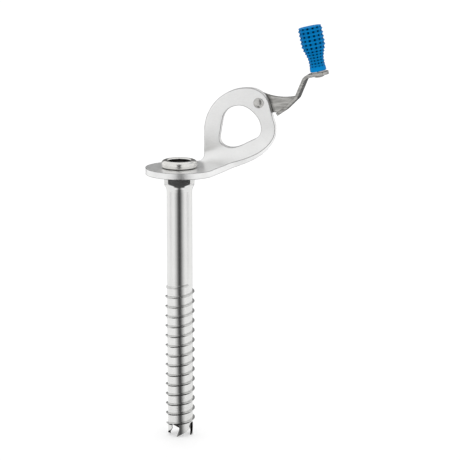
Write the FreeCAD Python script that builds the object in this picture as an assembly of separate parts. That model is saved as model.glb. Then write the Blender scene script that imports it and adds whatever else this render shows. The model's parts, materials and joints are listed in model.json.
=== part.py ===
# Ice screw: a hollow steel tube with a coarse outside thread and a four-tooth
# crown, a sheet hanger with a karabiner eye, and a fold-out crank with a knob.
# Millimetres.  +Z runs up the tube from the teeth to the head.  The origin sits
# on the tube axis at the underside of the hanger plate.  +X points along the
# hanger eye, +Y points from the tube axis to the eye sheet.
import FreeCAD, Part
import math
import os

os.makedirs("parts", exist_ok=True)

V = FreeCAD.Vector
Z = V(0, 0, 1)

# ---- driving sizes -------------------------------------------------------
tube_length = 170.0        # hanger underside to tooth tips
tube_radius = 8.0
bore_radius = 6.4
thread_radius = 9.3
thread_pitch = 6.38
thread_top = -72.0
thread_bottom = -163.4
thread_start = 206.0       # degrees round from +X
thread_land = 0.45         # width of the crest
thread_root = 2.0          # width where the thread meets the tube
tooth_count = 4
first_tooth = -93.0        # degrees round from +X
tooth_back_rise = 4.9      # how far the back of a tooth climbs
gullet_radius = 2.7
gullet_height = 6.3        # centre of the gullet above the tooth tips
neck_flat = 18.8           # across the four flats under the hanger
neck_corner_radius = 11.7
neck_height = 5.0
neck_turn = 15.0           # the flats stand turned to the eye by this angle
key_flat = 15.4            # square part that carries the hanger
key_corner_radius = 8.9
sheet = 4.0                # hanger sheet
plate_radius = 21.5
eye_plane = 28.0           # tube axis to the front of the eye sheet
bend_start_radius = 6.0    # inside bend radius at the narrow end
bend_growth = 0.40         # the bend opens by this much per mm of length
bend_ref_x = 9.0
pivot_x = 44.0
pivot_z = 42.3
rivet_radius = 2.3
fit = 0.05                 # running clearance on radius
collar_radius = 11.1
collar_height = 4.8
arm_sheet = 2.0
arm_front = 24.65          # front edge of the folded strip
arm_back = 34.65
knob_lean = 12.0           # degrees towards the tube
knob_foot_x = 82.4
knob_foot_z = 63.1
knob_length = 29.3
knob_radius = 7.7
axle_radius = 2.0
axle_head = 24.1           # top of the shank above the crank foot
cap_seat = 26.6            # the cap rests this high in the knob
fold_radius = 2.0          # inside radius of the small folds of the strip
heel_radius = 4.0          # inside radius where the strip turns into the foot


def save(shape, name):
    shape.exportStep("parts/" + name + ".step")


def prism(points, direction):
    wire = Part.makePolygon([V(*p) for p in points + points[:1]])
    return Part.Face(wire).extrude(V(*direction))


def turned(profile):
    """Solid of revolution about Z from (radius, height) pairs."""
    wire = Part.makePolygon([V(r, 0, h) for r, h in profile + profile[:1]])
    return Part.Face(wire).revolve(V(0, 0, 0), Z, 360)


def rounding(centre, radius, start, end, cuts):
    """(radius, height) pairs of a round turned as flat cuts; 0 degrees points outward."""
    pairs = []
    for i in range(cuts + 1):
        a = math.radians(start + (end - start) * i / cuts)
        pairs.append((centre[0] + radius * math.cos(a), centre[1] + radius * math.sin(a)))
    return pairs


def crown(radius, z_edge, z_top):
    """Low domed head from its rim to the axis, as two cuts."""
    rise = z_top - z_edge
    steps = [math.radians(a) for a in (0, 48, 90)]
    return [(radius * math.cos(a), z_edge + rise * math.sin(a)) for a in steps]


def arc(a, b, c):
    return Part.Arc(V(*a), V(*b), V(*c)).toShape()


def line(a, b):
    return Part.makeLine(V(*a), V(*b))


def disc_y(x, z, radius, y0, y1):
    return Part.makeCylinder(radius, y1 - y0, V(x, y0, z), V(0, 1, 0))


# ---- screw tube ----------------------------------------------------------
def square_bar(flat, radius, z0, z1, turn):
    half = flat / 2
    bar = Part.makeBox(flat, flat, z1 - z0, V(-half, -half, z0))
    bar.rotate(V(0, 0, 0), Z, turn)
    return bar.common(Part.makeCylinder(radius, z1 - z0, V(0, 0, z0)))


def neck():
    """Square shoulder the hanger rests on, turned down into the round tube."""
    low = -neck_height
    foot = low - 5.6
    cone = turned([(0, 0), (neck_corner_radius, 0), (neck_corner_radius, low),
                   (10.3, low - 1.1), (9.3, low - 2.3), (8.5, low - 3.8), (tube_radius, foot), (0, foot)])
    return cone.common(square_bar(neck_flat, 2 * neck_corner_radius, foot, 0, neck_turn))


def ice_thread():
    """Right-hand ridge: steep on the hanger side, sloped on the tooth side."""
    helix = Part.makeHelix(thread_pitch, thread_top - thread_bottom, tube_radius)
    foot = tube_radius - 0.35
    crest_top = thread_root - 0.15
    profile = Part.makePolygon([V(foot, 0, 0), V(thread_radius, 0, crest_top - thread_land),
                                V(thread_radius, 0, crest_top), V(foot, 0, thread_root + 0.1),
                                V(foot, 0, 0)])
    ridge = Part.Wire(helix).makePipeShell([profile], True, True)
    ridge.rotate(V(0, 0, 0), Z, thread_start)
    ridge.translate(V(0, 0, thread_bottom))
    return ridge


def run_out(z, towards):
    """Cone that fades one end of the thread into the tube."""
    outer = Part.makeCylinder(14, 5, V(0, 0, 0))
    core = Part.makeCone(tube_radius - 0.02, thread_radius + 0.2, 5)
    ring = outer.cut(core)
    if towards < 0:
        ring.rotate(V(0, 0, 0), V(1, 0, 0), 180)
    ring.translate(V(0, 0, z))
    return ring


def tooth_gap(index):
    """Everything removed between two tooth tips."""
    tip = -tube_length
    sections = []
    for step in range(9):
        share = step / 8.0
        a = math.radians(-90 + 66 * share)
        rise = 0.02 + tooth_back_rise * share
        inner = V(4 * math.cos(a), 4 * math.sin(a), 0)
        outer = V(12 * math.cos(a), 12 * math.sin(a), 0)
        low = V(0, 0, tip - 3)
        high = V(0, 0, tip + rise)
        corners = [inner + low, outer + low, outer + high, inner + high, inner + low]
        sections.append(Part.makePolygon(corners))
    slope = Part.makeLoft(sections, True, False)
    hook = prism([(4, 0.0, tip - 0.02), (4, 1.9, tip + gullet_height - 1.2),
                  (4, -4.0, tip + gullet_height - 1.2), (4, -4.0, tip - 3), (4, 0.0, tip - 3)],
                 (8, 0, 0))
    gullet = Part.makeCylinder(gullet_radius, 8, V(4, -0.8, tip + gullet_height), V(1, 0, 0))
    gap = slope.fuse([hook, gullet]).removeSplitter()
    gap.rotate(V(0, 0, 0), Z, first_tooth + index * 360.0 / tooth_count)
    return gap


def screw_tube():
    body = Part.makeCylinder(tube_radius, tube_length, V(0, 0, -tube_length))
    body = body.fuse(neck())
    body = body.fuse(square_bar(key_flat, key_corner_radius, 0, sheet, neck_turn))
    body = body.fuse(Part.makeCylinder(tube_radius, 2.9, V(0, 0, sheet)))
    body = body.removeSplitter()
    body = body.fuse(ice_thread())
    body = body.cut(run_out(thread_top + 1.2, -1))
    body = body.cut(Part.makeCylinder(bore_radius, 190, V(0, 0, -180)))
    mouth = Part.makeCone(bore_radius, bore_radius + 0.8, 0.8, V(0, 0, sheet + 2.1))
    body = body.cut(mouth)
    for index in range(tooth_count):
        body = body.cut(tooth_gap(index))
    return body


# ---- hanger --------------------------------------------------------------
def bend_radius(x):
    return bend_start_radius + bend_growth * (x - bend_ref_x)


# sideways limits of the sheet at every ten degrees of bend
rim_right = [25.7, 26.4, 28.1, 32.2, 38.4, 45.0, 50.0, 53.4, 54.7, 54.6]
rim_left = [3.6, 5.0, 6.1, 7.0, 7.7, 8.1, 8.4, 8.5, 8.5, 8.5]


def on_bend(x, degrees, depth):
    """Point on the bend; depth 0 is the inside face, sheet is the outside."""
    r = bend_radius(x)
    a = math.radians(degrees)
    return V(x, eye_plane - r + (r + depth) * math.sin(a), sheet + r - (r + depth) * math.cos(a))


def bend_cone(depth):
    """Cone that the sheet is bent round, its axis at one height over plate and eye."""
    axis = V(1, -bend_growth, bend_growth)
    tip_x = bend_ref_x - (bend_start_radius + depth) / bend_growth
    length = 150
    end_radius = length * math.tan(math.asin(bend_growth / axis.Length))
    return Part.makeCone(0, end_radius, length, V(tip_x, eye_plane + depth, sheet - depth), axis)


def bend_piece():
    """Conical quarter bend, trimmed to the rims of the sheet."""
    inside = -1.0
    outside = sheet + 1.0
    sections = []
    for step, (left, right) in enumerate(zip(rim_left, rim_right)):
        degrees = step * 10
        corners = [on_bend(left, degrees, inside), on_bend(right, degrees, inside),
                   on_bend(right, degrees, outside), on_bend(left, degrees, outside),
                   on_bend(left, degrees, inside)]
        sections.append(Part.makePolygon(corners))
    rims = Part.makeLoft(sections, True, False)
    return bend_cone(sheet).cut(bend_cone(0)).common(rims)


def flat_piece():
    r = plate_radius
    left = (rim_left[0], eye_plane - bend_radius(rim_left[0]), 0)
    right = (rim_right[0], eye_plane - bend_radius(rim_right[0]), 0)
    front_right = (16.9, -15.1, 0)
    edges = [line(left, right),
             line(right, (22.8, -2.0, 0)),
             arc((22.8, -2.0, 0), (21.0, -9.6, 0), front_right),
             arc(front_right, (0, -r, 0), (-r, 0, 0)),
             arc((-r, 0, 0), (-15.2, 15.2, 0), (-1.5, r - 0.05, 0)),
             line((-1.5, r - 0.05, 0), left)]
    return Part.Face(Part.Wire(edges)).extrude(V(0, 0, sheet))


def ear_piece():
    y = eye_plane
    right_z = sheet + bend_radius(rim_right[9])
    left_z = sheet + bend_radius(rim_left[9])
    side = (50.9, y, 41.6)
    top = (36.8, y, 51.6)
    edges = [line((rim_left[9], y, left_z), (rim_right[9], y, right_z)),
             arc((rim_right[9], y, right_z), (53.0, y, 33.6), side),
             arc(side, (46.2, y, 48.7), top),
             arc(top, (17.6, y, 44.0), (8.6, y, 25.5)),
             line((8.6, y, 25.5), (rim_left[9], y, left_z))]
    return Part.Face(Part.Wire(edges)).extrude(V(0, sheet, 0))


def eye_opening():
    """Rounded triangle for the karabiner."""
    around = [(18.5, 21.0), (20.4, 14.6), (25.4, 13.0), (38.5, 17.7), (44.8, 22.0),
              (45.4, 28.5), (40.6, 36.2), (32.0, 40.3), (23.6, 37.2)]
    curve = Part.BSplineCurve()
    curve.interpolate([V(x, eye_plane - 12, z) for x, z in around], True)
    face = Part.Face(Part.Wire(curve.toShape()))
    return face.extrude(V(0, 24, 0))


def hanger():
    body = flat_piece().fuse([bend_piece(), ear_piece()])
    body = body.cut(eye_opening())
    body = body.cut(square_bar(key_flat + 0.1, key_corner_radius + 0.05, -1, sheet + 1, neck_turn))
    body = body.cut(disc_y(pivot_x, pivot_z, rivet_radius + 0.02, 20, 40))
    return body


# ---- small turned parts --------------------------------------------------
def head_collar():
    """Rounded ring pressed on the top of the tube; its lip covers the tube end."""
    low = sheet
    high = sheet + collar_height
    lip = 7.2
    seat = sheet + 2.95
    inner = tube_radius + 0.02
    top_round = 2.2
    profile = [(inner, low), (collar_radius - 0.7, low), (collar_radius, low + 0.8)]
    profile += rounding((collar_radius - top_round, high - top_round), top_round, 0, 90, 2)
    profile += [(lip + 0.6, high - 0.35), (lip, high - 1.2), (lip, seat), (inner, seat)]
    return turned(profile)


def stand_on_pivot(shape):
    """Parts drawn along +Z from the eye front are laid along +Y at the pivot."""
    shape.rotate(V(0, 0, 0), V(1, 0, 0), -90)
    shape.translate(V(pivot_x, eye_plane, pivot_z))
    return shape


def pivot_rivet():
    """Domed head on the eye front, shank through the crank, closed head behind."""
    back = arm_back + 0.9 - eye_plane
    r = rivet_radius
    front_head = crown(3.3, -0.35, -1.5)
    back_head = crown(3.6, back + 0.3, back + 1.3)
    shank = [(3.6, back), (r, back), (r, 0), (3.3, 0)]
    return stand_on_pivot(turned(back_head[::-1] + shank + front_head))


def spring_washer():
    """Cupped spring washer that holds the crank by friction."""
    r = rivet_radius + 0.1
    cone = turned([(r, 0.25), (5.2, 0.0), (5.2, 0.3), (r, 0.55)])
    cone.translate(V(0, 0, sheet))
    return stand_on_pivot(cone)


def pivot_washer():
    ring = turned([(rivet_radius + 0.05, 0), (4.8, 0), (4.8, 0.8), (rivet_radius + 0.05, 0.8)])
    ring.translate(V(0, 0, arm_back + 0.1 - eye_plane))
    return stand_on_pivot(ring)


# ---- crank ---------------------------------------------------------------
def strip_path():
    """Middle line of the folded strip seen from the front, as (x, z)."""
    lean = math.radians(knob_lean)
    foot = (knob_foot_x + arm_sheet / 2 * math.sin(lean), knob_foot_z - arm_sheet / 2 * math.cos(lean))
    end = (foot[0] + 6.2 * math.cos(lean), foot[1] + 6.2 * math.sin(lean))
    heel = (foot[0] - 8.2 * math.cos(lean), foot[1] - 8.2 * math.sin(lean))
    return [(56.6, 36.0), (61.4, 39.3), (69.0, 46.9), heel, end]


def band(path, width):
    """Outline of an even band along a path, mitred at the corners."""
    sides = [[], []]
    for i, (x, z) in enumerate(path):
        before = path[max(i - 1, 0)]
        after = path[min(i + 1, len(path) - 1)]
        d1 = V(x - before[0], 0, z - before[1])
        d2 = V(after[0] - x, 0, after[1] - z)
        if i == 0:
            d1 = d2
        if i == len(path) - 1:
            d2 = d1
        d1 = d1.normalize()
        d2 = d2.normalize()
        across = V(-(d1.z + d2.z), 0, d1.x + d2.x).normalize()
        reach = width / 2 / across.dot(V(-d1.z, 0, d1.x))
        sides[0].append((x + across.x * reach, z + across.z * reach))
        sides[1].append((x - across.x * reach, z - across.z * reach))
    return sides[0] + sides[1][::-1]


def edge_across(solid, corner):
    """The edge that crosses the strip at an (x, z) corner."""
    for edge in solid.Edges:
        ends = [v.Point for v in edge.Vertexes]
        if all(abs(p.x - corner[0]) + abs(p.z - corner[1]) < 1e-5 for p in ends):
            return edge
    raise ValueError("no edge at that corner")


def folded_strip():
    outline = band(strip_path(), arm_sheet)
    strip = prism([(x, arm_front, z) for x, z in outline], (0, arm_back - arm_front, 0))
    for inside, outside, radius in ((1, 8, fold_radius), (2, 7, fold_radius), (6, 3, heel_radius)):
        strip = strip.makeFillet(radius, [edge_across(strip, outline[inside])])
        strip = strip.makeFillet(radius + arm_sheet, [edge_across(strip, outline[outside])])
    return strip


def crank_web():
    """Flat root of the crank behind the eye, cut off along the folded strip."""
    y = arm_back - arm_sheet
    px, pz = pivot_x, pivot_z
    low = (px + 1.4, y, pz - 6.14)
    high = (px + 1.4, y, pz + 6.14)
    strip_root = [(x, y, z) for x, z in strip_path()[:3]]
    tip = (69.2, y, 47.6)
    edges = [arc(low, (px - 6.3, y, pz), high),
             arc(high, (58.5, y, 46.0), tip),
             line(tip, strip_root[2]),
             line(strip_root[2], strip_root[1]),
             line(strip_root[1], strip_root[0]),
             line(strip_root[0], low)]
    return Part.Face(Part.Wire(edges)).extrude(V(0, arm_sheet, 0))


def crank_arm():
    body = folded_strip().fuse(crank_web()).removeSplitter()
    body = body.cut(disc_y(pivot_x, pivot_z, rivet_radius + fit, 20, 40))
    hole = stand_on_platform(Part.makeCylinder(axle_radius + 0.02, 8, V(0, 0, -4)))
    body = body.cut(hole)
    foot_end = Part.makeBox(12, 30, 8, V(0, -15, -5)).cut(Part.makeCylinder(6.2, 8, V(0, 0, -5)))
    return body.cut(stand_on_platform(foot_end))


def stand_on_platform(shape):
    """Parts drawn along +Z from the crank platform are leaned into place."""
    shape.rotate(V(0, 0, 0), V(0, 1, 0), -knob_lean)
    shape.translate(V(knob_foot_x, (arm_front + arm_back) / 2, knob_foot_z))
    return shape


def knob_axle():
    """Shank riveted under the crank foot, with a head inside the knob."""
    low = -arm_sheet
    r = axle_radius
    inner_head = crown(2.8, axle_head, axle_head + 0.9)
    foot_head = crown(3.2, low - 0.3, low - 1.3)
    shank = [(2.8, axle_head - 0.2), (r, axle_head - 0.2), (r, low), (3.2, low)]
    return stand_on_platform(turned(inner_head[::-1] + shank + foot_head))


def ring_on_axle(outer, low, high):
    inner = axle_radius + 0.02
    return stand_on_platform(turned([(inner, low), (outer, low), (outer, high), (inner, high)]))


def knob_grip():
    """Slim waist below, full drum above, open at the top for the cap."""
    r = knob_radius
    top = knob_length
    bore = axle_radius + fit + 0.02
    outside = [(bore, 0.9), (5.0, 0.9), (4.7, 5.0), (5.0, 9.8), (5.8, 12.4), (7.3, 15.2), (r, 17.2)]
    crown_round = rounding((r - 1.2, top - 1.2), 1.2, 0, 90, 2)
    cavity = [(5.0, top), (5.0, cap_seat), (4.2, cap_seat), (4.2, 22.9), (bore, 22.9)]
    return stand_on_platform(turned(outside + crown_round + cavity))


def knob_cap():
    top = knob_length
    plug = turned([(0, cap_seat), (4.97, cap_seat), (4.97, top - 0.3), (4.6, top), (0, top)])
    return stand_on_platform(plug)


save(screw_tube(), "screw_tube")
save(hanger(), "hanger")
save(head_collar(), "head_collar")
save(pivot_rivet(), "pivot_rivet")
save(spring_washer(), "spring_washer")
save(pivot_washer(), "pivot_washer")
save(crank_arm(), "crank_arm")
save(knob_axle(), "knob_axle")
save(ring_on_axle(4.4, 0.05, 0.8), "knob_washer")
save(ring_on_axle(3.6, 23.0, 23.85), "retaining_washer")
save(knob_grip(), "knob_grip")
save(knob_cap(), "knob_cap")
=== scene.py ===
# Ice screw: looks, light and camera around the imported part.
import json
import math

import bmesh
import bpy
from bpy.props import FloatProperty, FloatVectorProperty, IntProperty, PointerProperty
from mathutils import Matrix, Vector


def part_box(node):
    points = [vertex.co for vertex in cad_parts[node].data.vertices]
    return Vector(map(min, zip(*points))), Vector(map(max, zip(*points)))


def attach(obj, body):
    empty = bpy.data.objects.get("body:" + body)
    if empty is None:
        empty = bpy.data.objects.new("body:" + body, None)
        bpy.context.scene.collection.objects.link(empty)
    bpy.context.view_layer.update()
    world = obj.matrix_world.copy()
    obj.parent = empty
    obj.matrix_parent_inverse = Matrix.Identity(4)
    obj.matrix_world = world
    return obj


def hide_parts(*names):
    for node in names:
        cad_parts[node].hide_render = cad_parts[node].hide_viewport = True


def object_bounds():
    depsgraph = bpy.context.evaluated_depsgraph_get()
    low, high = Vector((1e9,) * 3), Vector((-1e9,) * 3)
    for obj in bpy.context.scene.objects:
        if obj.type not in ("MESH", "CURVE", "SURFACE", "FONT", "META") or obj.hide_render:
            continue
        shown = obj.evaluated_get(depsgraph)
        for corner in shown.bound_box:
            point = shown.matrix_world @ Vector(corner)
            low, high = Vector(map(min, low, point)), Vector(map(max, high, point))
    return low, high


bl_info = {
    "name": "Ice screw",
    "version": (1, 0, 0),
    "blender": (4, 5, 0),
    "location": "3D View > Sidebar > Ice screw",
    "description": "Finishes the pieces of an ice screw and sets up its studio",
    "category": "Object",
}

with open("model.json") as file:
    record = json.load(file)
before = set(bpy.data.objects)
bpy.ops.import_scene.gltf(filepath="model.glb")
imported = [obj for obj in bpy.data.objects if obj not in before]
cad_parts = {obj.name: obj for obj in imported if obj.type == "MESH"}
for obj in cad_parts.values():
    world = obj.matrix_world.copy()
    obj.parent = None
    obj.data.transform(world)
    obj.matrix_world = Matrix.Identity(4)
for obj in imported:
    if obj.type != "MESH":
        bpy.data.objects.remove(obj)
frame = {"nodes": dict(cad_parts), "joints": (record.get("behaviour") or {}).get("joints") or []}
cad_low, cad_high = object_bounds()
JOINTS = {joint["name"]: joint for joint in frame["joints"]}
MM = 0.001
PLATE_TOP = Vector((0, 0, 0.004))

# greys across the reflected strip, from its middle (0) to where it ends (1)
SOFT_CARD = ((0.0, 0.04), (0.16, 0.10), (0.34, 0.34), (0.53, 0.62), (0.75, 0.82), (1.0, 0.97))
STRIP_SPREAD = 0.97         # half width of the strip over its distance

FLOAT = "NodeSocketFloat"
VECTOR = "NodeSocketVector"
MIX_FACTOR, MIX_UNDER, MIX_OVER, MIX_OUT = 0, 6, 7, 2     # colour sockets of a Mix node
BUMP_DEPTH = 0.0001
SMOOTH_BELOW = math.radians(35)


def axis_frame(name):
    """Places things drawn along +Z from the origin on a joint's own axis."""
    joint = JOINTS[name]
    turn = Vector(joint["axis"]).to_track_quat("Z", "Y").to_matrix().to_4x4()
    return Matrix.Translation(Vector(joint["pos_m"])) @ turn


def colour_of(name, text, value):
    return FloatVectorProperty(name=name, description=text, default=value, size=3,
                               min=0.0, max=1.0, subtype="COLOR")


def length_of(name, text, value):
    return FloatProperty(name=name, description=text, default=value, min=0.0,
                         subtype="DISTANCE", unit="LENGTH")


def angle_of(name, text, degrees):
    return FloatProperty(name=name, description=text, default=math.radians(degrees),
                         subtype="ANGLE", unit="ROTATION")


class SteelSettings(bpy.types.PropertyGroup):
    tube_colour: colour_of("Tube", "Colour of the turned tube", (0.74, 0.74, 0.73))
    hanger_colour: colour_of("Hanger", "Colour of the satin sheet", (0.84, 0.84, 0.835))
    collar_colour: colour_of("Collar", "Colour of the polished ring", (0.76, 0.75, 0.725))
    crank_colour: colour_of("Crank", "Colour of the crank sheet", (0.38, 0.375, 0.36))
    washer_colour: colour_of("Washers", "Colour of the small washers", (0.45, 0.45, 0.44))


class KnobSettings(bpy.types.PropertyGroup):
    colour: colour_of("Colour", "Colour of the moulded knob", (0.0, 0.195, 0.50))
    columns: IntProperty(name="Columns", description="Pits round the knob", default=13,
                         min=6, max=40)
    drum_radius: length_of("Drum radius", "Radius of the full end of the knob", 0.0077)
    length: length_of("Length", "Crank foot to the top of the knob", 0.0293)


class StudioSettings(bpy.types.PropertyGroup):
    floor_drop: length_of("Floor drop", "Gap between the tooth tips and the floor", 0.0)
    camera_range: length_of("Camera range", "Camera to the top of the hanger plate", 1.5059)
    camera_azimuth: angle_of("Azimuth", "Camera turn round the tube", 15.0)
    camera_tilt: angle_of("Tilt", "Camera looks down by this angle", 12.0)
    lens: FloatProperty(name="Lens", description="Focal length", default=187.83, min=1.0,
                        subtype="DISTANCE_CAMERA", unit="CAMERA")


# ---- shader nodes ---------------------------------------------------------
def add(tree, kind, **settings):
    """Adds a node; each setting goes to the socket of that name, or else to the node."""
    node = tree.nodes.new(kind)
    for key, value in settings.items():
        if key in node.inputs:
            node.inputs[key].default_value = value
        else:
            setattr(node, key, value)
    return node


def join(tree, *pairs):
    for source, target in pairs:
        tree.links.new(source, target)


def mapped(tree, value, start, end, low=0.0, high=1.0, curve="LINEAR"):
    """A value's run from start to end, laid over low to high."""
    node = add(tree, "ShaderNodeMapRange", interpolation_type=curve)
    for label, number in (("From Min", start), ("From Max", end), ("To Min", low), ("To Max", high)):
        node.inputs[label].default_value = number
    tree.links.new(value, node.inputs["Value"])
    return node.outputs["Result"]


def laid_over(tree, finish, mask, colour, blend="MULTIPLY"):
    """A finish with a colour laid over it where the mask is white."""
    layer = add(tree, "ShaderNodeMix", data_type="RGBA", blend_type=blend)
    layer.inputs[MIX_OVER].default_value = (*colour, 1)
    join(tree, (mask, layer.inputs[MIX_FACTOR]), (finish, layer.inputs[MIX_UNDER]))
    return layer.outputs[MIX_OUT]


def two_tone(tree, mask, dark, light):
    """Dark where the mask is black and light where it is white."""
    base = add(tree, "ShaderNodeMix", data_type="RGBA")
    base.inputs[MIX_UNDER].default_value = (*dark, 1)
    base.inputs[MIX_OVER].default_value = (*light, 1)
    tree.links.new(mask, base.inputs[MIX_FACTOR])
    return base.outputs[MIX_OUT]


def tinted(colour, share, lift=0.0):
    """A colour made lighter or darker by a share, kept within 1."""
    return [min(1.0, c * share + lift) for c in colour]


def grey_ramp(tree, stops):
    """Colour ramp of greys from (position, grey) pairs."""
    node = add(tree, "ShaderNodeValToRGB")
    ramp = node.color_ramp
    while len(ramp.elements) < len(stops):
        ramp.elements.new(0.5)
    for element, (position, grey) in zip(ramp.elements, stops):
        element.position = position
        element.color = (grey, grey, grey, 1)
    return node


def object_point(tree):
    return add(tree, "ShaderNodeTexCoord").outputs["Object"]


def height_over_origin(tree):
    apart = add(tree, "ShaderNodeSeparateXYZ")
    tree.links.new(object_point(tree), apart.inputs[0])
    return apart.outputs["Z"]


def reach_from_tube_axis(tree):
    flat = add(tree, "ShaderNodeVectorMath", operation="MULTIPLY")
    flat.inputs[1].default_value = (1.0, 1.0, 0.0)
    reach = add(tree, "ShaderNodeVectorMath", operation="LENGTH")
    join(tree, (object_point(tree), flat.inputs[0]), (flat.outputs[0], reach.inputs[0]))
    return reach.outputs["Value"]


# ---- shared shader groups -------------------------------------------------
def open_group(name, inputs, outputs):
    """New group, with the node that gives its inputs and the node that takes its outputs."""
    tree = bpy.data.node_groups.new(name, "ShaderNodeTree")
    for label, kind, value in inputs:
        socket = tree.interface.new_socket(name=label, in_out="INPUT", socket_type=kind)
        socket.default_value = value
    for label, kind in outputs:
        tree.interface.new_socket(name=label, in_out="OUTPUT", socket_type=kind)
    return tree, add(tree, "NodeGroupInput"), add(tree, "NodeGroupOutput")


def grain_group():
    """Long scratches drawn out along one axis, with a broader unevenness."""
    tree, given, out = open_group(
        "Metal grain",
        [("Stretch", VECTOR, (1.0, 1.0, 1.0)), ("Scale", FLOAT, 900.0), ("Unevenness", FLOAT, 90.0)],
        [("Lines", FLOAT), ("Clouds", FLOAT)])
    where = object_point(tree)
    drawn = add(tree, "ShaderNodeVectorMath", operation="MULTIPLY")
    lines = add(tree, "ShaderNodeTexNoise", Detail=3.0, Roughness=0.6)
    clouds = add(tree, "ShaderNodeTexNoise", Detail=3.0, Roughness=0.55)
    join(tree,
         (where, drawn.inputs[0]),
         (given.outputs["Stretch"], drawn.inputs[1]),
         (drawn.outputs[0], lines.inputs["Vector"]),
         (given.outputs["Scale"], lines.inputs["Scale"]),
         (where, clouds.inputs["Vector"]),
         (given.outputs["Unevenness"], clouds.inputs["Scale"]),
         (lines.outputs["Fac"], out.inputs["Lines"]),
         (clouds.outputs["Fac"], out.inputs["Clouds"]))
    return tree


def marks_group():
    """Sparse small handling marks, white where the surface is scuffed."""
    full_mark = 0.85
    tree, given, out = open_group("Handling marks",
                                  [("Scale", FLOAT, 260.0), ("Amount", FLOAT, 0.6)],
                                  [("Mask", FLOAT)])
    spots = add(tree, "ShaderNodeTexNoise", Detail=6.0, Roughness=0.7)
    ramp = add(tree, "ShaderNodeMapRange")
    ramp.inputs["From Max"].default_value = full_mark
    join(tree,
         (object_point(tree), spots.inputs["Vector"]),
         (given.outputs["Scale"], spots.inputs["Scale"]),
         (given.outputs["Amount"], ramp.inputs["From Min"]),
         (spots.outputs["Fac"], ramp.inputs["Value"]),
         (ramp.outputs["Result"], out.inputs["Mask"]))
    return tree


def bore_group():
    """White inside the bore, where the steel is painted near black: partly its duller finish, partly
    painted shade down the bore.
    """
    tree, given, out = open_group("Bore shade", [("Radius", FLOAT, 0.0073)], [("Mask", FLOAT)])
    inner = add(tree, "ShaderNodeMath", operation="LESS_THAN")
    join(tree,
         (reach_from_tube_axis(tree), inner.inputs[0]),
         (given.outputs["Radius"], inner.inputs[1]),
         (inner.outputs[0], out.inputs["Mask"]))
    return tree


def edge_group():
    """Rounded normal at the rolled edges, and a mask that is white where it leaves the flat one."""
    hardly_turned, well_turned = 0.99, 0.86
    tree, given, out = open_group("Rolled edges", [("Radius", FLOAT, 0.0004)],
                                  [("Normal", VECTOR), ("Mask", FLOAT)])
    rounded = add(tree, "ShaderNodeBevel", samples=8)
    flat = add(tree, "ShaderNodeNewGeometry")
    match = add(tree, "ShaderNodeVectorMath", operation="DOT_PRODUCT")
    join(tree,
         (given.outputs["Radius"], rounded.inputs["Radius"]),
         (rounded.outputs["Normal"], match.inputs[0]),
         (flat.outputs["Normal"], match.inputs[1]),
         (rounded.outputs["Normal"], out.inputs["Normal"]),
         (mapped(tree, match.outputs["Value"], hardly_turned, well_turned), out.inputs["Mask"]))
    return tree


GROUP_MAKERS = {"grain": grain_group, "marks": marks_group, "bore": bore_group, "edge": edge_group}
GROUPS = {}


def place_group(tree, name, **values):
    """Puts a shared group in a material with its own values; the group is made on first use."""
    if name not in GROUPS:
        GROUPS[name] = GROUP_MAKERS[name]()
    node = tree.nodes.new("ShaderNodeGroup")
    node.node_tree = GROUPS[name]
    for key, value in values.items():
        node.inputs[key].default_value = value
    return node


# ---- masks that one finish uses -------------------------------------------
def thread_shade_mask(tree):
    """White on the flanks and crest of the thread, which are darkened: partly the duller ground
    steel, partly painted shade for the thread's dark lines.
    """
    tube_skin, thread_end = 0.0082, -0.06
    proud = add(tree, "ShaderNodeMath", operation="GREATER_THAN")
    proud.inputs[1].default_value = tube_skin
    below = add(tree, "ShaderNodeMath", operation="LESS_THAN")
    below.inputs[1].default_value = thread_end
    both = add(tree, "ShaderNodeMath", operation="MULTIPLY")
    join(tree,
         (reach_from_tube_axis(tree), proud.inputs[0]),
         (height_over_origin(tree), below.inputs[0]),
         (proud.outputs[0], both.inputs[0]),
         (below.outputs[0], both.inputs[1]))
    return both.outputs[0]


def foot_shade_mask(tree, base):
    """White in the corner where the ring stands on the plate, where painted shade darkens the ring's
    foot.
    """
    unshaded, fully_shaded = base + 0.8 * MM, base + 0.3 * MM
    return mapped(tree, height_over_origin(tree), unshaded, fully_shaded, curve="SMOOTHSTEP")


def side_shade_mask(tree, direction):
    """White on the side of a piece that faces the given direction, which gets painted shade as the
    side turned away from the light.
    """
    aside, facing = 0.6, 0.92
    where = add(tree, "ShaderNodeTexCoord")
    match = add(tree, "ShaderNodeVectorMath", operation="DOT_PRODUCT")
    match.inputs[1].default_value = direction
    tree.links.new(where.outputs["Normal"], match.inputs[0])
    return mapped(tree, match.outputs["Value"], aside, facing, curve="SMOOTHSTEP")


# ---- materials ------------------------------------------------------------
def new_material(name):
    mat = bpy.data.materials.new(name)
    mat.use_nodes = True
    return mat, mat.node_tree, mat.node_tree.nodes["Principled BSDF"]


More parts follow.
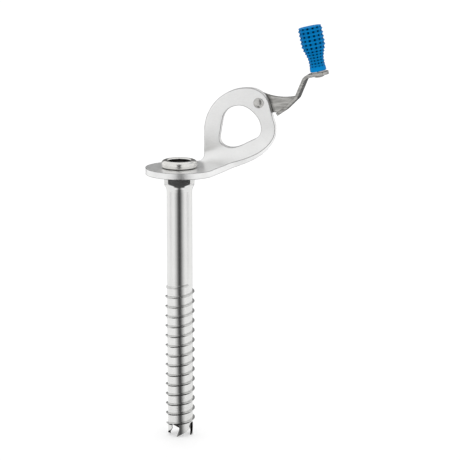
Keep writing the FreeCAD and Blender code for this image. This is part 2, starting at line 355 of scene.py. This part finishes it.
def metal(name, colour, rough, stretch, scale, bump, spread=0.06, rough_spread=0.08,
          edge=0.0, edge_shade=0.4, bore=0.0, thread=0.0, foot=None, shaded_side=None):
    """Steel with drawn grain, cloudy unevenness and a few scuffs, and where asked painted shade in
    the bore, at the ring's foot, on one side, on the thread and along the edges.
    """
    # painted colours: the bore's is partly painted shade, the foot's and the side's are painted
    # shade
    bore_dullness_and_shade, foot_shade, side_shade = (0.035, 0.034, 0.033), (0.12, 0.12, 0.115), (0.16, 0.16, 0.16)
    darkest_cloud, lightest_cloud, cloud_share = 0.86, 1.1, 0.5
    scuff_roughness = 0.12
    mat, t, shader = new_material(name)
    shader.inputs["Metallic"].default_value = 1.0
    grain = place_group(t, "grain", Stretch=stretch, Scale=scale, Unevenness=70.0)
    marks = place_group(t, "marks", Scale=330.0, Amount=0.58)
    lines = grain.outputs["Lines"]
    tone = add(t, "ShaderNodeMix", data_type="RGBA", blend_type="MULTIPLY")
    tone.inputs[MIX_FACTOR].default_value = cloud_share
    clouds = mapped(t, grain.outputs["Clouds"], 0.0, 1.0, darkest_cloud, lightest_cloud)
    join(t,
         (two_tone(t, lines, tinted(colour, 1 - spread), tinted(colour, 1 + spread)),
          tone.inputs[MIX_UNDER]),
         (clouds, tone.inputs[MIX_OVER]))
    finish = tone.outputs[MIX_OUT]
    # painted shade: the bore is painted near black, over its duller steel
    if bore:
        inner = place_group(t, "bore", Radius=bore).outputs["Mask"]
        finish = laid_over(t, finish, inner, bore_dullness_and_shade, "MIX")
    # painted shade at the ring's foot, where it stands on the plate
    if foot is not None:
        finish = laid_over(t, finish, foot_shade_mask(t, foot), foot_shade)
    # painted shade on the side that faces the given direction
    if shaded_side:
        finish = laid_over(t, finish, side_shade_mask(t, shaded_side), side_shade)
    # painted shade on the thread's flanks and crest, over its duller ground steel
    if thread:
        finish = laid_over(t, finish, thread_shade_mask(t), (thread, thread, thread))
    relief = add(t, "ShaderNodeBump", Strength=bump, Distance=BUMP_DEPTH)
    join(t, (lines, relief.inputs["Height"]), (relief.outputs["Normal"], shader.inputs["Normal"]))
    if edge:
        rolled = place_group(t, "edge", Radius=edge)
        t.links.new(rolled.outputs["Normal"], relief.inputs["Normal"])
        finish = laid_over(t, finish, rolled.outputs["Mask"], (edge_shade, edge_shade, edge_shade))
    rough_lines = mapped(t, lines, 0.0, 1.0, rough - rough_spread / 2, rough + rough_spread / 2)
    scuffed = add(t, "ShaderNodeMath", operation="MULTIPLY_ADD")
    scuffed.inputs[1].default_value = scuff_roughness
    join(t,
         (finish, shader.inputs["Base Color"]),
         (marks.outputs["Mask"], scuffed.inputs[0]),
         (rough_lines, scuffed.inputs[2]),
         (scuffed.outputs[0], shader.inputs["Roughness"]))
    return mat


def plastic(name, colour):
    """Moulded plastic, a little worn on the proud spots, with painted shade down in its pits and
    between its columns.
    """
    darkest_pit_shade = 2.15
    pit_shades = ((0.0, 1.1), (0.15, 0.85), (0.35, 0.5), (0.65, 0.14), (0.9, 0.04))
    smoothest, roughest = 0.36, 0.5
    mat, t, shader = new_material(name)
    shader.inputs["Specular IOR Level"].default_value = 0.14
    shader.inputs["IOR"].default_value = 1.25
    grain = place_group(t, "grain", Stretch=(1.0, 1.0, 1.0), Scale=1500.0, Unevenness=120.0)
    marks = place_group(t, "marks", Scale=500.0, Amount=0.6)
    clouds = grain.outputs["Clouds"]
    base = two_tone(t, clouds, tinted(colour, 0.82), tinted(colour, 1.18))
    worn = laid_over(t, base, marks.outputs["Mask"], tinted(colour, 1.5, 0.02), "MIX")
    # painted shade in the pits and between the columns, read from the knob's vertices
    pit = add(t, "ShaderNodeAttribute", attribute_name="painted_pit_shade")
    share = add(t, "ShaderNodeMath", operation="DIVIDE")
    share.inputs[1].default_value = darkest_pit_shade
    pit_shade_ramp = grey_ramp(t, pit_shades)
    pit_shading = add(t, "ShaderNodeMix", data_type="RGBA", blend_type="MULTIPLY")
    pit_shading.inputs[MIX_FACTOR].default_value = 1.0
    relief = add(t, "ShaderNodeBump", Strength=0.15, Distance=BUMP_DEPTH)
    join(t,
         (pit.outputs["Fac"], share.inputs[0]),
         (share.outputs[0], pit_shade_ramp.inputs[0]),
         (worn, pit_shading.inputs[MIX_UNDER]),
         (pit_shade_ramp.outputs[0], pit_shading.inputs[MIX_OVER]),
         (pit_shading.outputs[MIX_OUT], shader.inputs["Base Color"]),
         (mapped(t, clouds, 0.0, 1.0, smoothest, roughest), shader.inputs["Roughness"]),
         (grain.outputs["Lines"], relief.inputs["Height"]),
         (relief.outputs["Normal"], shader.inputs["Normal"]))
    return mat


def dress(obj, material):
    """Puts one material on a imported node, whose mesh stays as it is."""
    obj.data.materials.clear()
    obj.data.materials.append(material)
    for face in obj.data.polygons:
        face.material_index = 0


# ---- shapes ---------------------------------------------------------------
def add_object(name, bm, material, smooth_angle=None):
    mesh = bpy.data.meshes.new(name)
    bm.to_mesh(mesh)
    bm.free()
    obj = bpy.data.objects.new(name, mesh)
    bpy.context.scene.collection.objects.link(obj)
    mesh.materials.append(material)
    if smooth_angle is not None:
        mesh.shade_smooth()
        mesh.set_sharp_from_angle(angle=smooth_angle)
    return obj


def finish_piece(name, bm, material, body, replaces, place=None):
    """Makes a smooth object of a bmesh, rides it on its body and hides the solid it stands for."""
    if place is not None:
        bmesh.ops.transform(bm, matrix=place, verts=bm.verts)
    obj = add_object(name, bm, material, SMOOTH_BELOW)
    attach(obj, body)
    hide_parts(replaces)


def rounding(centre, radius, start, end, steps):
    """(radius, height) pairs along a round, in degrees from outward."""
    angles = [math.radians(start + (end - start) * i / steps) for i in range(steps + 1)]
    return [(centre[0] + radius * math.cos(a), centre[1] + radius * math.sin(a)) for a in angles]


def dome(radius, edge, top, steps=8):
    """(radius, height) pairs of a low domed head from its axis out to its rim."""
    angles = [math.radians(90 - 90 * i / steps) for i in range(steps + 1)]
    return [(radius * math.cos(a), edge + (top - edge) * math.sin(a)) for a in angles]


def lathe(profile, steps, closed=True):
    """Spins (radius, height) pairs in mm round the Z axis into one closed skin."""
    bm = bmesh.new()
    ring = [bm.verts.new((r * MM, 0, z * MM)) for r, z in profile]
    pairs = list(zip(ring, ring[1:]))
    if closed:
        pairs.append((ring[-1], ring[0]))
    edges = [bm.edges.new(pair) for pair in pairs]
    bmesh.ops.spin(bm, geom=ring + edges, axis=(0, 0, 1), cent=(0, 0, 0),
                   angle=math.tau, steps=steps, use_merge=True)
    bmesh.ops.remove_doubles(bm, verts=bm.verts, dist=1e-7)
    bmesh.ops.recalc_face_normals(bm, faces=bm.faces)
    return bm


def smooth_step(low, high, value):
    share = min(max((value - low) / (high - low), 0.0), 1.0)
    return share * share * (3 - 2 * share)


# ---- operators ------------------------------------------------------------
class SCREW_OT_steel(bpy.types.Operator):
    """Give every packed steel piece its finish"""
    bl_idname = "ice_screw.steel"
    bl_label = "Steel finishes"

    def execute(self, context):
        s = context.scene.screw_steel
        outward_and_down = (0.87, 0.0, -0.5)
        # the tube's bore and thread get painted shade
        tube = metal("Turned steel", s.tube_colour, rough=0.15, stretch=(0.6, 0.6, 14.0),
                     scale=260.0, bump=0.25, edge=0.00012, edge_shade=0.7, bore=0.00735,
                     thread=0.85)
        sheet = metal("Satin sheet", s.hanger_colour, rough=0.36, stretch=(1.0, 1.0, 3.0),
                      scale=700.0, bump=0.35, edge=0.0008, edge_shade=0.22)
        # the crank's downward outer side gets painted shade
        crank = metal("Crank sheet", s.crank_colour, rough=0.24, stretch=(0.35, 1.0, 2.2),
                      scale=420.0, bump=0.4, spread=0.9, edge=0.0005, edge_shade=0.3,
                      shaded_side=outward_and_down)
        washer = metal("Washer steel", s.washer_colour, rough=0.3, stretch=(1.0, 8.0, 1.0),
                       scale=500.0, bump=0.2)
        chosen = {"screw_tube": tube, "hanger": sheet, "spring_washer": washer,
                  "pivot_washer": washer, "crank_arm": crank, "knob_washer": washer,
                  "retaining_washer": washer}
        for node, material in chosen.items():
            dress(frame["nodes"][node], material)
        return {"FINISHED"}


class SCREW_OT_turned(bpy.types.Operator):
    """Turn the head ring, the pivot rivet and the knob's axle with full rounds"""
    bl_idname = "ice_screw.turned"
    bl_label = "Ring, rivet and axle"

    def ring(self, material):
        low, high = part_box("head_collar")
        outer = (high[0] - low[0]) / 2 / MM
        base, top = low[2] / MM, high[2] / MM
        foot_round, top_round, mouth_round = 1.1, 1.9, 1.1
        mouth, spigot, seat = 7.2, 8.02, top - 1.85
        profile = [(spigot, base)]
        profile += rounding((outer - foot_round, base + foot_round), foot_round, -90, 0, 6)
        profile += rounding((outer - top_round, top - top_round), top_round, 0, 90, 12)
        profile += rounding((mouth + mouth_round, top - mouth_round), mouth_round, 90, 180, 6)
        profile += [(mouth, seat), (spigot, seat)]
        finish_piece("head_ring", lathe(profile, 128), material, "screw",
                     "head_collar")

    def rivet(self, material):
        """Domed at the front of the eye and peened at the back of the crank."""
        low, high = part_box("pivot_rivet")
        level = JOINTS["crank_fold"]["pos_m"][1]
        front = (level - low[1]) / MM
        back = (level - high[1]) / MM
        shank, head, peened = 2.3, 3.3, 3.6
        head_seat, peened_seat = front - 1.5, back + 1.3
        profile = dome(head, front - 1.15, front) + [(head, head_seat), (shank, head_seat)]
        profile += [(shank, peened_seat), (peened, peened_seat)]
        profile += dome(peened, back + 1.0, back)[::-1]
        finish_piece("eye_rivet", lathe(profile, 64, closed=False), material, "screw",
                     "pivot_rivet", axis_frame("crank_fold"))

    def axle(self, material):
        """Riveted under the crank's foot, with its other head inside the knob."""
        shank, inner_head, under_head = 2.0, 2.8, 3.2
        profile = dome(inner_head, 24.1, 25.0)
        profile += [(inner_head, 23.9), (shank, 23.9), (shank, -2.0), (under_head, -2.0)]
        profile += dome(under_head, -2.3, -3.3)[::-1]
        finish_piece("knob_shank", lathe(profile, 64, closed=False), material, "crank",
                     "knob_axle", axis_frame("knob_spin"))

    def execute(self, context):
        colour = context.scene.screw_steel.collar_colour
        darker, rivet_tone = tinted(colour, 0.35), tinted(colour, 0.68)
        polished = metal("Polished steel", darker, rough=0.2, stretch=(1.0, 1.0, 20.0),
                         scale=200.0, bump=0.05, spread=0.03, rough_spread=0.04)
        # the ring's bore and foot get painted shade
        turned = metal("Turned ring", colour, rough=0.24, stretch=(0.5, 0.5, 18.0),
                       scale=240.0, bump=0.15, spread=0.05, bore=0.0073,
                       foot=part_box("head_collar")[0][2])
        rolled = metal("Rolled rivet", rivet_tone, rough=0.27, stretch=(1.0, 1.0, 1.0),
                       scale=600.0, bump=0.2)
        self.ring(turned)
        self.rivet(rolled)
        self.axle(polished)
        return {"FINISHED"}


class SCREW_OT_knob(bpy.types.Operator):
    """Mould the studded knob over its plain solid"""
    bl_idname = "ice_screw.knob"
    bl_label = "Studded knob"

    slim = 5.05                 # radius of the waist, in mm like all sizes of the knob
    bore = 2.07
    bottom = 0.9
    skin_start = 1.4            # where the straight foot ends and the flank starts
    cap_seat = 26.6
    bore_end = 22.9
    stud_end = 28.9
    switch = 14.5               # the studs are wide above this height and small below it
    cuts_per_pit = 12

    def skin_profile(self, drum, top):
        """Outline from the crank foot up, before the studs."""
        row_height, foot_flare, rim_round = 0.2, 0.1, 1.4
        skin_end = top - 1.2
        rows = int((skin_end - self.skin_start) / row_height)
        outline = [(self.bore, self.bottom), (self.slim - foot_flare, self.bottom),
                   (self.slim + foot_flare / 2, 1.1)]
        for i in range(rows + 1):
            h = self.skin_start + (skin_end - self.skin_start) * i / rows
            flare = foot_flare * (1 - smooth_step(self.skin_start, 4.0, h))
            swell = (drum - self.slim) * smooth_step(7.5, 18.5, h)
            outline.append((self.slim + flare + swell, h))
        outline += rounding((drum - rim_round, top - rim_round), rim_round, 15, 90, 5)
        outline += [(5.0, top), (5.0, self.cap_seat), (4.2, self.cap_seat),
                    (4.2, self.bore_end), (self.bore, self.bore_end)]
        return outline

    def stud(self, columns, angle, height):
        """Depth in mm and painted shade: rings of ridges with a pit in every cell, the shade darkest
        in the pits and between the columns.
        """
        pitch = 2.5 if height > self.switch else 1.9
        ridge = 0.5 + 0.5 * math.cos(math.tau * (height - self.switch) / pitch)
        column = 0.5 + 0.5 * math.cos(columns * angle)
        fade = smooth_step(3.4, 4.6, height) * (1 - smooth_step(28.4, self.stud_end, height))
        small = 0.65 + 0.35 * smooth_step(9.0, 15.0, height)
        groove = (1 - ridge) ** 0.9
        pit = groove ** 1.6 * column ** 3.2
        rib_side = (1 - column) ** 2
        depth = fade * small * (0.7 * groove + 1.5 * pit)
        # painted shade: a little in the grooves, most in the pits, some between the columns
        return depth, fade * (0.12 * groove + 2.3 * pit + 0.3 * rib_side)

    def press_studs(self, bm, columns):
        """Pushes the outer skin in by the pattern and notes its painted shade on each vertex."""
        inside = 4.6
        shade = bm.verts.layers.float.new("painted_pit_shade")
        for vert in bm.verts:
            x, y, z = vert.co / MM
            radius = math.hypot(x, y)
            if radius < inside or not self.skin_start <= z <= self.stud_end:
                continue
            depth, dark = self.stud(columns, math.atan2(y, x), z)
            vert[shade] = dark
            inward = depth / radius
            vert.co.x -= vert.co.x * inward
            vert.co.y -= vert.co.y * inward

    def execute(self, context):
        s = context.scene.screw_knob
        blue = plastic("Knob plastic", s.colour)
        dress(frame["nodes"]["knob_cap"], blue)
        outline = self.skin_profile(s.drum_radius / MM, s.length / MM)
        bm = lathe(outline, s.columns * self.cuts_per_pit)
        self.press_studs(bm, s.columns)
        finish_piece("studded_knob", bm, blue, "knob", "knob_grip",
                     axis_frame("knob_spin"))
        return {"FINISHED"}


class SCREW_OT_studio(bpy.types.Operator):
    """Floor, reflectors, lights and camera"""
    bl_idname = "ice_screw.studio"
    bl_label = "Studio"

    def card(self, name, width, height, centre, facing, material):
        bm = bmesh.new()
        bm.loops.layers.uv.new("UVMap")
        bmesh.ops.create_grid(bm, x_segments=1, y_segments=1, size=0.5, calc_uvs=True)
        bmesh.ops.scale(bm, vec=(width, height, 1), verts=bm.verts)
        turn = Vector(facing).to_track_quat("Z", "Y").to_matrix().to_4x4()
        bmesh.ops.transform(bm, matrix=Matrix.Translation(centre) @ turn, verts=bm.verts)
        obj = add_object(name, bm, material)
        return obj

    def only_in_reflections(self, obj):
        obj.visible_camera = False
        obj.visible_shadow = False
        obj.visible_diffuse = False

    def emitter(self, name, grey, strength):
        mat = new_material(name)[0]
        shader = mat.node_tree.nodes["Principled BSDF"]
        shader.inputs["Base Color"].default_value = (grey, grey, grey, 1)
        shader.inputs["Roughness"].default_value = 0.9
        shader.inputs["Emission Color"].default_value = (grey, grey, grey, 1)
        shader.inputs["Emission Strength"].default_value = strength
        return mat

    def share_of(self, tree, top, bottom, whole):
        """Size of top over bottom as a share of the whole, without its sign."""
        ratio = add(tree, "ShaderNodeMath", operation="DIVIDE")
        size = add(tree, "ShaderNodeMath", operation="ABSOLUTE")
        share = add(tree, "ShaderNodeMath", operation="DIVIDE")
        share.inputs[1].default_value = whole
        join(tree,
             (top, ratio.inputs[0]),
             (bottom, ratio.inputs[1]),
             (ratio.outputs[0], size.inputs[0]),
             (size.outputs[0], share.inputs[0]))
        return share.outputs[0]

    def foot_disc(self, level, toward):
        """Round on the floor that carries the dark strip on under the teeth and the thread."""
        radius, corners, nearest = 0.06, 48, 0.0005
        level_view, steep_view = 0.35, 0.70
        mat = self.emitter("Steep dark", 0.97, 1.0)
        t = mat.node_tree
        shader = t.nodes["Principled BSDF"]
        shader.inputs["Base Color"].default_value = (0.02, 0.02, 0.02, 1)
        facing = add(t, "ShaderNodeLayerWeight", Blend=0.5)
        where = object_point(t)
        along = add(t, "ShaderNodeVectorMath", operation="DOT_PRODUCT")
        along.inputs[1].default_value = toward
        across = add(t, "ShaderNodeVectorMath", operation="DOT_PRODUCT")
        across.inputs[1].default_value = (-toward.y, toward.x, 0)
        ahead = add(t, "ShaderNodeMath", operation="MAXIMUM")
        ahead.inputs[1].default_value = nearest
        fan = grey_ramp(t, SOFT_CARD)
        fade = mapped(t, facing.outputs["Facing"], level_view, steep_view)
        join(t,
             (where, along.inputs[0]),
             (where, across.inputs[0]),
             (along.outputs["Value"], ahead.inputs[0]),
             (self.share_of(t, across.outputs["Value"], ahead.outputs[0], STRIP_SPREAD),
              fan.inputs[0]),
             (fan.outputs[0], shader.inputs["Emission Color"]),
             (fade, shader.inputs["Emission Strength"]))
        bm = bmesh.new()
        bmesh.ops.create_circle(bm, cap_ends=True, segments=corners, radius=radius)
        bmesh.ops.translate(bm, vec=(0, 0, level), verts=bm.verts)
        disc = add_object("foot_disc", bm, mat)
        self.only_in_reflections(disc)

    def soft_card(self):
        """Card material that is dark along its middle and fades to white at both sides."""
        mat = self.emitter("Soft dark card", 0.0, 1.0)
        t = mat.node_tree
        apart = add(t, "ShaderNodeSeparateXYZ")
        middle = add(t, "ShaderNodeMath", operation="SUBTRACT")
        middle.inputs[1].default_value = 0.5
        side = add(t, "ShaderNodeMath", operation="ABSOLUTE")
        wide = add(t, "ShaderNodeMath", operation="MULTIPLY")
        wide.inputs[1].default_value = 2.0
        fade = grey_ramp(t, SOFT_CARD)
        join(t,
             (add(t, "ShaderNodeUVMap").outputs[0], apart.inputs[0]),
             (apart.outputs[0], middle.inputs[0]),
             (middle.outputs[0], side.inputs[0]),
             (side.outputs[0], wide.inputs[0]),
             (wide.outputs[0], fade.inputs[0]),
             (fade.outputs[0], t.nodes["Principled BSDF"].inputs["Emission Color"]))
        return mat

    def reflectors(self, low, toward):
        """Cards that only the steel sees: dark strips ahead and behind, grey ones at the sides."""
        dark = self.emitter("Dark card", 0.02, 0.0)
        dim = self.emitter("Grey card", 0.5, 0.8)
        soft = self.soft_card()
        far, near = 0.5, 0.06
        strip_top = -0.012
        strip_width, strip_height = 2 * near * STRIP_SPREAD, strip_top - low
        strip_middle = Vector((0, 0, (low + strip_top) / 2))
        front = toward * far + Vector((0, 0, low + 0.35))
        behind = -toward * far + Vector((0, 0, 0.02))
        left = Vector((-0.5, -0.16, 0.0))
        right = Vector((0.5, 0.05, 0.0))
        cards = (("front_card", 0.22, 0.7, front, -toward, dark),
                 ("back_card", 0.56, 0.38, behind, toward, dark),
                 ("near_card", strip_width, strip_height, strip_middle + toward * near,
                  -toward, soft),
                 ("rear_card", strip_width, strip_height, strip_middle - toward * near * 1.6,
                  toward, soft),
                 ("left_card", 0.22, 1.2, left, -left, dim),
                 ("right_card", 0.22, 1.2, right, -right, dim))
        for name, wide, tall, place, facing, material in cards:
            self.only_in_reflections(self.card(name, wide, tall, place, facing, material))

    def sky(self, scene):
        """Even white light from all round."""
        world = bpy.data.worlds.new("Studio")
        world.use_nodes = True
        world.node_tree.nodes["Background"].inputs[0].default_value = (1, 1, 1, 1)
        world.node_tree.nodes["Background"].inputs[1].default_value = 1.0
        scene.world = world

    def camera(self, scene, s, toward):
        side_offset, up_offset = 0.0318, -0.0393
        tilt = s.camera_tilt
        right = Vector((math.cos(s.camera_azimuth), math.sin(s.camera_azimuth), 0))
        look = -toward * math.cos(tilt) - Vector((0, 0, math.sin(tilt)))
        up = -toward * math.sin(tilt) + Vector((0, 0, math.cos(tilt)))
        place = PLATE_TOP + right * side_offset + up * up_offset - look * s.camera_range
        data = bpy.data.cameras.new("Camera")
        data.lens = s.lens
        data.sensor_width = 36.0
        data.clip_start = 0.01
        data.clip_end = 100
        cam = bpy.data.objects.new("Camera", data)
        pose = Matrix((right, up, -look)).transposed().to_4x4()
        cam.matrix_world = Matrix.Translation(place) @ pose
        scene.collection.objects.link(cam)
        scene.camera = cam

    def execute(self, context):
        scene = context.scene
        s = scene.screw_studio
        low = cad_low[2]
        floor_size, disc_lift = 40, 0.0004
        toward = Vector((math.sin(s.camera_azimuth), -math.cos(s.camera_azimuth), 0))
        pale = self.emitter("Pale floor", 0.6, 0.75)
        self.card("floor", floor_size, floor_size, (0, 0, low - s.floor_drop), (0, 0, 1), pale)
        self.foot_disc(low + disc_lift, toward)
        self.reflectors(low, toward)
        self.sky(scene)
        self.camera(scene, s, toward)
        scene.view_settings.view_transform = "Standard"
        return {"FINISHED"}


class SCREW_PT_panel(bpy.types.Panel):
    """Lists the steps that dress the ice screw"""
    bl_idname = "SCREW_PT_panel"
    bl_label = "Ice screw"
    bl_space_type = "VIEW_3D"
    bl_region_type = "UI"
    bl_category = "Ice screw"

    def draw(self, context):
        for step in STEPS:
            self.layout.operator(step.bl_idname)


SETTINGS = {"screw_steel": SteelSettings, "screw_knob": KnobSettings, "screw_studio": StudioSettings}
STEPS = (SCREW_OT_steel, SCREW_OT_turned, SCREW_OT_knob, SCREW_OT_studio)
CLASSES = (*SETTINGS.values(), *STEPS, SCREW_PT_panel)


def register():
    for cls in CLASSES:
        bpy.utils.register_class(cls)
    for name, cls in SETTINGS.items():
        setattr(bpy.types.Scene, name, PointerProperty(type=cls))


def unregister():
    for name in SETTINGS:
        delattr(bpy.types.Scene, name)
    for cls in reversed(CLASSES):
        bpy.utils.unregister_class(cls)


def main():
    register()
    bpy.ops.ice_screw.steel()
    bpy.ops.ice_screw.turned()
    bpy.ops.ice_screw.knob()
    bpy.ops.ice_screw.studio()


if __name__ == "__main__":
    main()
